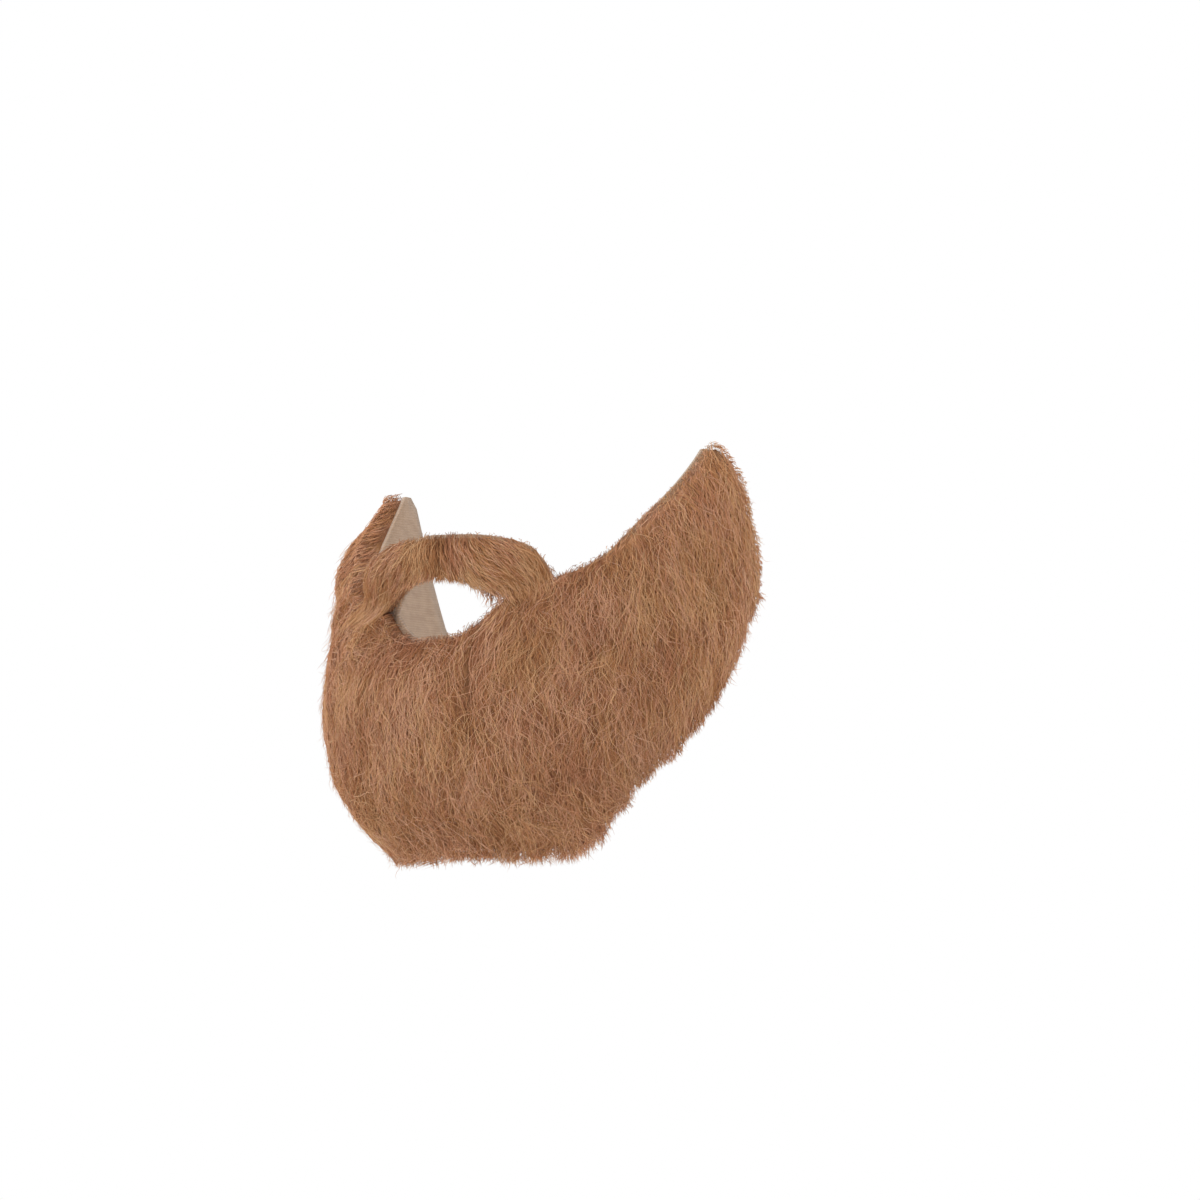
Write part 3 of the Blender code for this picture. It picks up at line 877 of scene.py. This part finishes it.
def insideStrands(settings, seed):
    # the pile's back below the cloth, which hangs free of the neck
    rng = np.random.default_rng(seed)
    angle, z = scatterRoots(settings["spacing"], blurred(beardMask * 1.0, settings["inset"]), rng)
    keep = z < atAngle(clothLine, angle) + settings["upTo"]
    keep &= pileAt("kept", angle, z) > 0.5
    angle, z = angle[keep], z[keep]
    n = len(angle)
    length = rng.uniform(*settings["length"], n)
    phase, sway = rng.uniform(0, fullTurn, n), rng.normal(0, settings["stray"], n)
    off = rng.uniform(*settings["off"], n) * mm

    def radiusAt(t, length, here, down):
        rise = min(1.0, t / habit["risen"])
        return pileAt("inner", here, down) + (1 - rise) * settings["depth"] - rise * off

    overshoot = rng.uniform(0, settings["past"], n) * mm
    bendAt = curling(sway, settings["curl"], phase)
    rows = combed(angle, z, length, settings["steps"], False, radiusAt, bendAt, overshoot=overshoot)
    return rows, rng.uniform(*settings["width"], n), shadeAt(angle, z, False, rng, settings["tone"])


beardPieces.append(strandPiece("inside_hair", *insideStrands(insideHair, 13)))

looseHair = hairKind(
    spacing=3.15, inset=3.0, length=(7, 15), width=(0.12, 0.18), steps=5,
    depth=1.0, lift=(0.5, 1.8), tipLift=(0.2, 3.0), overshoot=(0.5, 3.0),
    weave=0.3, wave=(6, 12), sway=10.0, stray=34.0, bow=36.0, crimp=30.0, tone=0.16)
loose = pileStrands(looseHair, 17)[1:]
beardPieces.append(strandPiece("loose_hair", *loose))

# the moustache's hair
lipHair = hairKind(
    spacing=0.78, length=(7, 11), width=(0.15, 0.25), steps=4,
    depth=1.3, lift=(-0.1, 0.7), tipLift=(-0.3, 0.4), overshoot=(0, 1.2),
    weave=0.2, wave=(8, 13), sway=6.0, stray=8.0, bow=7.0, crimp=6.0, tone=0.04)
lipWisps = hairKind(
    spacing=1.9, wisps=2, spread=0.5, length=(8, 13), width=(0.13, 0.21), steps=5,
    depth=1.0, lift=(0.4, 1.2), tipLift=(-0.5, 0.5), overshoot=(0, 1.4),
    weave=0.25, wave=(8, 14), sway=8.0, stray=11.0, bow=10.0, crimp=7.0, tone=0.30)
lipEdge = hairKind(
    perPlace=4, length=(6, 9), width=(0.15, 0.24), steps=5, out=0.5, reach=4, downhill=0.2)
lipHem = hairKind(perPlace=4, steps=4, inside=(0.5, 4), below=(0.2, 1.6), width=(0.15, 0.24))
lipPieces = [strandPiece(name, *strands) for name, strands in (
    ("moustache_strands", pileStrands(lipHair, 19, onLip=True)[1:]),
    ("moustache_wisps", pileStrands(lipWisps, 21, onLip=True)[1:]),
    ("moustache_edge_hair", edgeStrands(lipMask, True, 29, lipEdge)),
    ("moustache_hem_hair", hemStrands(lipMask, True, 31, lipHem)),
)]
print("strands laid")


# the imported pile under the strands
def selectOnly(piece):
    bpy.ops.object.select_all(action="DESELECT")
    piece.select_set(True)
    bpy.context.view_layer.objects.active = piece


def nodeCopy(node, name, finer=False):
    # a welded copy of a node, to be shaped further
    piece = node.copy()
    piece.data = node.data.copy()
    piece.name = piece.data.name = name
    piece.parent = None
    for key in list(piece.keys()):
        del piece[key]
    bpy.context.scene.collection.objects.link(piece)
    selectOnly(piece)
    bpy.ops.object.mode_set(mode="EDIT")
    bpy.ops.mesh.select_all(action="SELECT")
    bpy.ops.mesh.remove_doubles(threshold=1e-5)
    if finer:
        bpy.ops.mesh.subdivide(number_cuts=1)
    bpy.ops.object.mode_set(mode="OBJECT")
    while piece.data.uv_layers:
        piece.data.uv_layers.remove(piece.data.uv_layers[0])
    piece.data.materials.clear()
    return piece


def vertexPlaces(mesh):
    coords = np.empty(len(mesh.vertices) * 3)
    mesh.vertices.foreach_get("co", coords)
    return coords.reshape(-1, 3)


def wrapMap(piece):
    # a map round the head: across by angle, up by height
    mesh = piece.data
    coords = vertexPlaces(mesh)
    corner = np.empty(len(mesh.loops), int)
    mesh.loops.foreach_get("vertex_index", corner)
    up = (coords[:, 2] - head["lowest"]) / (head["highest"] - head["lowest"])
    uv = np.stack([0.5 + roundAxis(coords)[1] / head["mapAngles"], up], axis=1)
    layer = mesh.uv_layers.new(name="OFBake")
    layer.data.foreach_set("uv", uv[corner].astype(np.float32).ravel())


undercoat = dict(
    sink=1.0 * mm,
    keptShare=0.45,  # of the pile's thickness at least, down to the next depth
    keptDepth=2 * mm,
    edgeInset=1.6,   # grid places
    edgeBand=(0.98, 0.6),
    hangShare=0.7,   # how far it follows the hair's hem down
    hangBand=14 * mm,
    hemRise=2.0 * mm,
    hemBand=6 * mm,
    hemShare=0.3,
)


def sinkIntoPile(piece):
    # under the strands: in from the outside and the edges, and up or down with the hair's hem
    coords = vertexPlaces(piece.data)
    z = coords[:, 2]
    radius, angle = roundAxis(coords)
    inner, solid, eased = (pileAt(key, angle, z) for key in ("inner", "solid", "outer"))
    share = np.clip((radius - inner) / np.maximum(solid - inner, 1e-4), 0, 1)
    least = inner + undercoat["keptShare"] * np.minimum(solid - inner, undercoat["keptDepth"])
    radius = radius + share * (np.maximum(eased - undercoat["sink"], least) - solid)
    slopeA, slopeZ = (readGrid(slope, angle, z) for slope in np.gradient(form["mask"]))
    steep = np.maximum(np.hypot(slopeA, slopeZ), 1e-9)
    inset = undercoat["edgeInset"] * ramp(pileAt("mask", angle, z), *undercoat["edgeBand"])
    angle = angle + slopeA / steep * inset * head["angleStep"]
    z = z + slopeZ / steep * inset * head["heightStep"]
    drop, hemAt = hangAt(angle), atAngle(hemLine, angle)
    follows = undercoat["hangShare"]
    z = z - follows * np.maximum(drop, 0) * (1 - ramp(z - hemAt, 0, undercoat["hangBand"]))
    lowest = hemAt + undercoat["hemRise"] - np.minimum(follows * drop, drop)
    band = undercoat["hemBand"]
    pressed = np.maximum(z, lowest + (z - lowest + band) * undercoat["hemShare"])
    z = np.where(z < lowest + band, pressed, z)
    piece.data.vertices.foreach_set("co", fromAxis(radius, angle, z).ravel())
    piece.data.update()


undercoatLook = dict(
    warp=(110.0, 3.0),  # scale and detail
    warpReach=(0.004, 0.004, 0.0),
    fibre=(1300, 120, {"Detail": 4.0, "Roughness": 0.6}),
    wisp=(250, 75, {"Detail": 3.0}),
    hue=(110, 65, {"Detail": 2.0}),
    spread={"From Min": 0.68, "From Max": 1.32, "To Min": 0.0, "To Max": 0.8},
    ruddy={"From Min": 0.40, "From Max": 0.60},
    # painted shade along the chin's parting
    parting={"From Min": 0.002, "From Max": 0.009},
    bump={"Strength": 0.9, "Distance": 0.0006},
    roughness=0.75,
)


def undercoatMaterial(name, colours, look):
    # short dense fibres seen between the strands, coloured darker than them: the hair's colour with painted
    # shade deep in the pile
    made, tree, shader = newMaterial(name)
    link = tree.links.new
    place = newNode(tree, "TexCoord")
    warp = newNode(tree, "TexNoise", Scale=look["warp"][0], Detail=look["warp"][1])
    bend = newNode(tree, "VectorMath")
    bend.operation = "MULTIPLY_ADD"
    bend.inputs[1].default_value = look["warpReach"]
    link(place.outputs["Object"], warp.inputs["Vector"])
    link(warp.outputs["Color"], bend.inputs[0])
    link(place.outputs["Object"], bend.inputs[2])

    def streaks(sideways, along, noiseSettings):
        stretch = newNode(tree, "Mapping")
        stretch.inputs["Scale"].default_value = (sideways, sideways, along)
        noise = newNode(tree, "TexNoise", Scale=1.0, **noiseSettings)
        link(bend.outputs["Vector"], stretch.inputs["Vector"])
        link(stretch.outputs["Vector"], noise.inputs["Vector"])
        return noise.outputs["Fac"]

    def ranged(value, key):
        node = newNode(tree, "MapRange", **look[key])
        link(value, node.inputs["Value"])
        return node.outputs["Result"]

    fibre, wisp, hue = (streaks(*look[key]) for key in ("fibre", "wisp", "hue"))
    spread = ranged(mathNode(tree, "ADD", fibre, wisp), "spread")
    tone = newNode(tree, "Group", hairTone, **colours)
    split = newNode(tree, "SeparateXYZ")
    link(place.outputs["Object"], split.inputs["Vector"])
    # painted shade: the tone darkens along the chin's parting, as in its groove
    depth = mathNode(tree, "SUBTRACT", head["axisY"], split.outputs["Y"])
    turn = mathNode(tree, "ARCTAN2", split.outputs["X"], depth)
    turn = mathNode(tree, "SUBTRACT", turn, math.radians(lie["partingAngle"]))
    parting = ranged(mathNode(tree, "ABSOLUTE", turn), "parting")
    link(mathNode(tree, "MULTIPLY", spread, parting), tone.inputs["Tone"])
    link(ranged(hue, "ruddy"), tone.inputs["Hue"])
    link(tone.outputs["Colour"], shader.inputs["Base Color"])
    bump = newNode(tree, "Bump", **look["bump"])
    link(fibre, bump.inputs["Height"])
    link(bump.outputs["Normal"], shader.inputs["Normal"])
    shader.inputs["Roughness"].default_value = look["roughness"]
    return made


# the hair's colours darkened, painted shade deep in the pile
undercoatColours = dict(
    Dark=(0.200, 0.080, 0.034, 1),
    Middle=(0.360, 0.155, 0.072, 1),
    Light=(0.520, 0.250, 0.125, 1),
    Golden=(0.985, 1.025, 0.850, 1),
    Along=1.0,
    RootShade=1.0,
)
undercoatFinish = undercoatMaterial("ginger undercoat", undercoatColours, undercoatLook)
for node, name in (("beard_hair", "beard_undercoat"), ("moustache_hair", "moustache_undercoat")):
    piece = nodeCopy(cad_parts[node], name, finer=True)
    sinkIntoPile(piece)
    wrapMap(piece)
    selectOnly(piece)
    bpy.ops.object.shade_smooth()
    piece.data.materials.append(undercoatFinish)
    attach(piece, "root")
    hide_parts(node)
for piece in beardPieces:
    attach(piece, "root")
for piece in lipPieces:
    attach(piece, "root")
print("undercoats shaped")


# the knitted bases
knitBase = dict(
    waleCount=430.0,  # across the whole map
    courseCount=210.0,
    loopBow=0.6,
    stitchHeight=0.2,
    ground=0.2,
    yarn=(0.560, 0.385, 0.262, 1),
    shadow=(0.330, 0.205, 0.125, 1),
    cloud={"Scale": 60.0, "Detail": 5.0},
    tint={"From Min": 0.05, "From Max": 0.55},
    bump={"Strength": 0.7, "Distance": 0.0004},
    roughness=0.88,
    sheen=0.25,
)


def knitGroup(settings):
    # wales and courses of a fine tricot, counted across the map
    inputs = dict(Vector="Vector", Wale="Float", Course="Float")
    group, given, result = newGroup("fineKnit", inputs, dict(Height="Float"))
    split = newNode(group, "SeparateXYZ")
    group.links.new(given["Vector"], split.inputs["Vector"])
    column = mathNode(group, "MULTIPLY", split.outputs["X"], given["Wale"])
    row = mathNode(group, "MULTIPLY", split.outputs["Y"], given["Course"])
    wave = mathNode(group, "SINE", mathNode(group, "MULTIPLY", column, math.pi))
    bow = mathNode(group, "ABSOLUTE", wave)
    lifted = mathNode(group, "MULTIPLY_ADD", bow, settings["loopBow"], row)
    stitch = mathNode(group, "SINE", mathNode(group, "MULTIPLY", lifted, 2 * math.pi))
    loops = mathNode(group, "MULTIPLY_ADD", bow, settings["loopBow"], settings["ground"])
    height = mathNode(group, "MULTIPLY_ADD", stitch, settings["stitchHeight"], loops)
    group.links.new(height, result["Height"])
    return group


fineKnit = knitGroup(knitBase)


def knitMaterial(name, settings):
    made, tree, shader = newMaterial(name)
    link = tree.links.new
    place = newNode(tree, "UVMap")
    place.uv_map = "OFBake"
    knit = newNode(tree, "Group", fineKnit, Wale=settings["waleCount"], Course=settings["courseCount"])
    cloud = newNode(tree, "TexNoise", **settings["cloud"])
    link(place.outputs["UV"], knit.inputs["Vector"])
    link(place.outputs["UV"], cloud.inputs["Vector"])
    tint = newNode(tree, "MapRange", **settings["tint"])
    link(mathNode(tree, "MULTIPLY", knit.outputs["Height"], cloud.outputs["Fac"]), tint.inputs["Value"])
    colour = colourMix(tree, "MIX", tint.outputs["Result"], settings["shadow"], settings["yarn"])
    link(colour, shader.inputs["Base Color"])
    bump = newNode(tree, "Bump", **settings["bump"])
    link(knit.outputs["Height"], bump.inputs["Height"])
    link(bump.outputs["Normal"], shader.inputs["Normal"])
    shader.inputs["Roughness"].default_value = settings["roughness"]
    shader.inputs["Sheen Weight"].default_value = settings["sheen"]
    return made


knitFinish = knitMaterial("tan knit", knitBase)
for node, name, slot in (
    ("beard_backing", "beard_base", "tan_cloth"),
    ("moustache_backing", "moustache_base", "lip_cloth"),
):
    piece = nodeCopy(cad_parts[node], name)
    wrapMap(piece)
    selectOnly(piece)
    bpy.ops.object.shade_smooth_by_angle(angle=math.radians(50))
    piece.data.materials.append(knitFinish)
    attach(piece, "root")
    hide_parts(node)
print("bases made")


# floor, light and camera
studio = dict(
    floorSize=24,
    floorHeight=-0.75,
    paper=(0.86, 0.86, 0.85, 1),
    paperRoughness=0.9,
    sky=(1, 1, 1, 1),
    skyStrength=1.0,
    lampsAim=(0, 0.03, 0.02),
)
bpy.ops.object.select_all(action="DESELECT")
bpy.ops.mesh.primitive_plane_add(size=studio["floorSize"], location=(0, 0, studio["floorHeight"]))
floor = bpy.context.object
floor.name = "studio_floor"
bpy.ops.object.transform_apply(location=True, rotation=False, scale=False)
paper, _, paperShader = newMaterial("pale paper")
paperShader.inputs["Base Color"].default_value = studio["paper"]
paperShader.inputs["Roughness"].default_value = studio["paperRoughness"]
floor.data.materials.append(paper)
floor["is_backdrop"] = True

world = bpy.data.worlds.new("white studio")
world.use_nodes = True
world.node_tree.nodes["Background"].inputs["Color"].default_value = studio["sky"]
world.node_tree.nodes["Background"].inputs["Strength"].default_value = studio["skyStrength"]
bpy.context.scene.world = world
bpy.context.scene.view_settings.view_transform = "Standard"

# each lamp's name, place, size, power and tint
lamps = (
    ("key light", (0.3, -1.9, 1.1), 1.5, 11, (1, 1, 1)),
    ("fill light", (1.3, -1.3, -0.65), 1.6, 12, (1, 1, 1)),
    ("far light", (-1.8, -0.6, 0.4), 1.4, 22, (0.68, 0.90, 1.0)),
)
for name, place, size, power, tint in lamps:
    lamp = bpy.data.lights.new(name, "AREA")
    lamp.color = tint
    lamp.size = size
    lamp.energy = power
    stand = bpy.data.objects.new(name, lamp)
    stand.location = place
    aim = Vector(studio["lampsAim"]) - Vector(place)
    stand.rotation_euler = aim.to_track_quat("-Z", "Y").to_euler()
    bpy.context.scene.collection.objects.link(stand)

shot = dict(
    eye=(1.53601, -1.91715, -0.20515),
    aim=(0.02486, 0.06028, 0.03194),
    roll=-4.207,  # degrees
    lens=209.3,   # mm
    film=36,
)
lens = bpy.data.cameras.new("camera")
lens.sensor_width = shot["film"]
lens.lens = shot["lens"]
camera = bpy.data.objects.new("camera", lens)
camera.location = shot["eye"]
look = (Vector(shot["aim"]) - Vector(shot["eye"])).to_track_quat("-Z", "Y")
camera.rotation_euler = (look @ Quaternion((0, 0, 1), math.radians(shot["roll"]))).to_euler()
bpy.context.scene.collection.objects.link(camera)
bpy.context.scene.camera = camera
print("studio ready")

dressedBox = [list(corner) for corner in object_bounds()]
